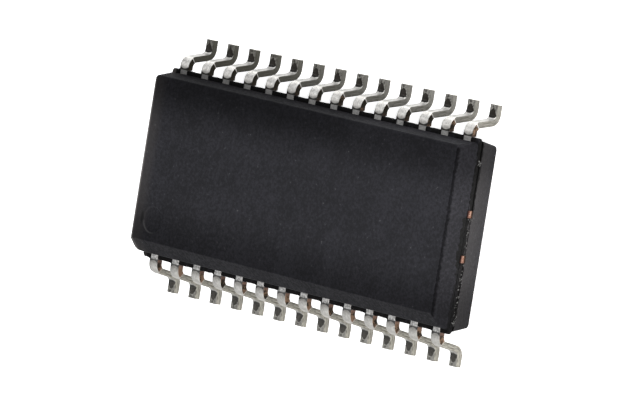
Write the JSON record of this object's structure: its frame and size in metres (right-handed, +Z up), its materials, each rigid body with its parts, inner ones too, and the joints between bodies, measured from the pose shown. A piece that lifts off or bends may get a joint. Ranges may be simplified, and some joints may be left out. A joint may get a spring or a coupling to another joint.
{
  "type": "small-outline integrated circuit",
  "caption": "Wide-body surface-mount integrated circuit: black moulded body with gull-wing leads on both long sides, complete with lead frame, die and bond wires.",
  "frame": {"origin": "middle of the footprint, on the seating plane that the soldered feet stand on", "axes": "+Z up out of the marked face; +X along the body, from the end with lead 1; +Y across the body, away from lead 1's row"},
  "size_m": [0.018, 0.0104, 0.0024],
  "materials": {
    "mould_compound": "black epoxy moulding compound, fine spark-eroded mould texture",
    "tin_plating": "matte tin plating, bare copper at the cut edges",
    "bare_copper": "bare copper alloy strip",
    "silver_epoxy": "silver-filled epoxy",
    "silicon": "passivated silicon",
    "gold": "drawn gold wire"
  },
  "bodies": {
    "root": {"body": "mould_compound", "lead_01": "tin_plating", "lead_02": "tin_plating", "lead_03": "tin_plating", "lead_04": "tin_plating", "lead_05": "tin_plating", "lead_06": "tin_plating", "lead_07": "tin_plating", "lead_08": "tin_plating", "lead_09": "tin_plating", "lead_10": "tin_plating", "lead_11": "tin_plating", "lead_12": "tin_plating", "lead_13": "tin_plating", "lead_14": "tin_plating", "lead_15": "tin_plating", "lead_16": "tin_plating", "lead_17": "tin_plating", "lead_18": "tin_plating", "lead_19": "tin_plating", "lead_20": "tin_plating", "lead_21": "tin_plating", "lead_22": "tin_plating", "lead_23": "tin_plating", "lead_24": "tin_plating", "lead_25": "tin_plating", "lead_26": "tin_plating", "lead_27": "tin_plating", "lead_28": "tin_plating", "die_paddle": "bare_copper", "die_attach": "silver_epoxy", "die": "silicon", "bond_wire_01": "gold", "bond_wire_02": "gold", "bond_wire_03": "gold", "bond_wire_04": "gold", "bond_wire_05": "gold", "bond_wire_06": "gold", "bond_wire_07": "gold", "bond_wire_08": "gold", "bond_wire_09": "gold", "bond_wire_10": "gold", "bond_wire_11": "gold", "bond_wire_12": "gold", "bond_wire_13": "gold", "bond_wire_14": "gold", "bond_wire_15": "gold", "bond_wire_16": "gold", "bond_wire_17": "gold", "bond_wire_18": "gold", "bond_wire_19": "gold", "bond_wire_20": "gold", "bond_wire_21": "gold", "bond_wire_22": "gold", "bond_wire_23": "gold", "bond_wire_24": "gold", "bond_wire_25": "gold", "bond_wire_26": "gold", "bond_wire_27": "gold", "bond_wire_28": "gold"}
  },
  "joints": []
}
